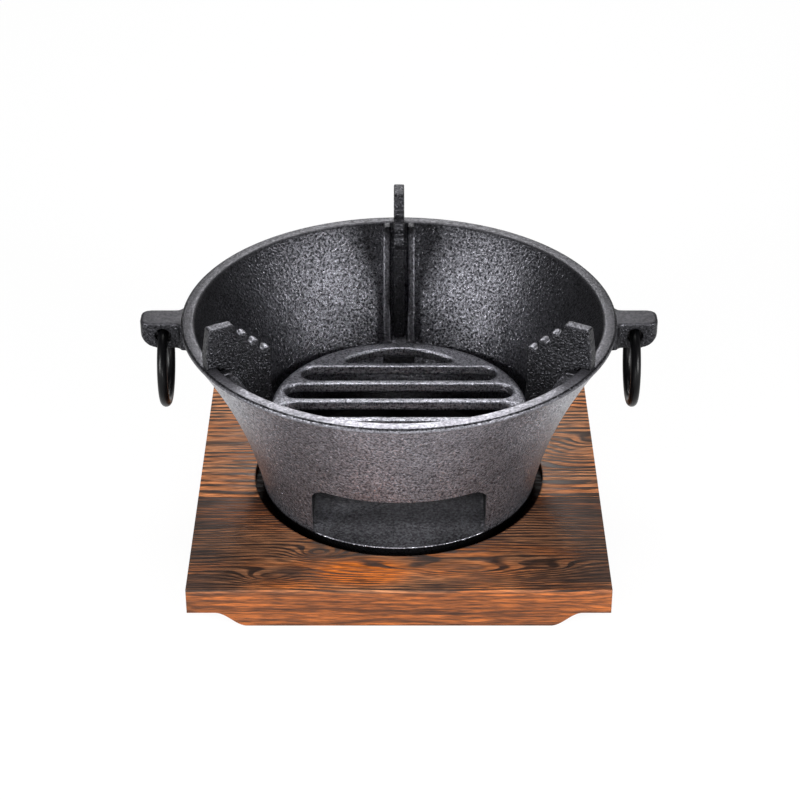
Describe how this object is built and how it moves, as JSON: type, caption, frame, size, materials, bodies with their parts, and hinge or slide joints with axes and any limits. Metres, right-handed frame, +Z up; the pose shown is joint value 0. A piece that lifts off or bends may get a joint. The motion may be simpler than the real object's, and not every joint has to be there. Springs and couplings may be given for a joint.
{
  "type": "hibachi grill",
  "caption": "Table hibachi: flared cast-iron fire bowl with ring handles, front draught vent, slotted fire grate and toothed pot supports, standing in a recess of a torched wooden plank base.",
  "frame": {"origin": "middle of the base's underside, on the surface the grill stands on", "axes": "+Z up; +X along the line of the two ears; the draught vent faces -Y"},
  "size_m": [0.301, 0.2532, 0.1601],
  "materials": {
    "torched_wood": "torched and brushed softwood, satin",
    "cast_iron": "sand-cast, seasoned, satin",
    "black_wire": "gloss black painted steel wire"
  },
  "bodies": {
    "base": {"base_plank_front": "torched_wood", "base_plank_middle": "torched_wood", "base_plank_rear": "torched_wood"},
    "bowl": {"fire_bowl": "cast_iron"},
    "grate": {"fire_grate": "cast_iron"},
    "support_rear": {"pot_support_rear": "cast_iron"},
    "support_left": {"pot_support_left": "cast_iron"},
    "support_right": {"pot_support_right": "cast_iron"},
    "ring_left": {"ring_handle_left": "black_wire"},
    "ring_right": {"ring_handle_right": "black_wire"}
  },
  "joints": [
    {"name": "bowl_lift", "type": "slide", "parent": "base", "child": "bowl", "axis": [0, 0, 1], "range_m": [0, 0.12]},
    {"name": "grate_lift", "type": "slide", "parent": "bowl", "child": "grate", "axis": [0, 0, 1], "range_m": [0, 0.1]},
    {"name": "support_rear_lift", "type": "slide", "parent": "bowl", "child": "support_rear", "axis": [0, 0, 1], "range_m": [0, 0.08]},
    {"name": "support_left_lift", "type": "slide", "parent": "bowl", "child": "support_left", "axis": [0, 0, 1], "range_m": [0, 0.08]},
    {"name": "support_right_lift", "type": "slide", "parent": "bowl", "child": "support_right", "axis": [0, 0, 1], "range_m": [0, 0.08]},
    {"name": "ring_left_swing", "type": "hinge", "parent": "bowl", "child": "ring_left", "pos_m": [-0.1372, 0, 0.1254], "axis": [0, 1, 0], "range_deg": [-30, 160]},
    {"name": "ring_right_swing", "type": "hinge", "parent": "bowl", "child": "ring_right", "pos_m": [0.1372, 0, 0.1254], "axis": [0, -1, 0], "range_deg": [-30, 160]}
  ]
}
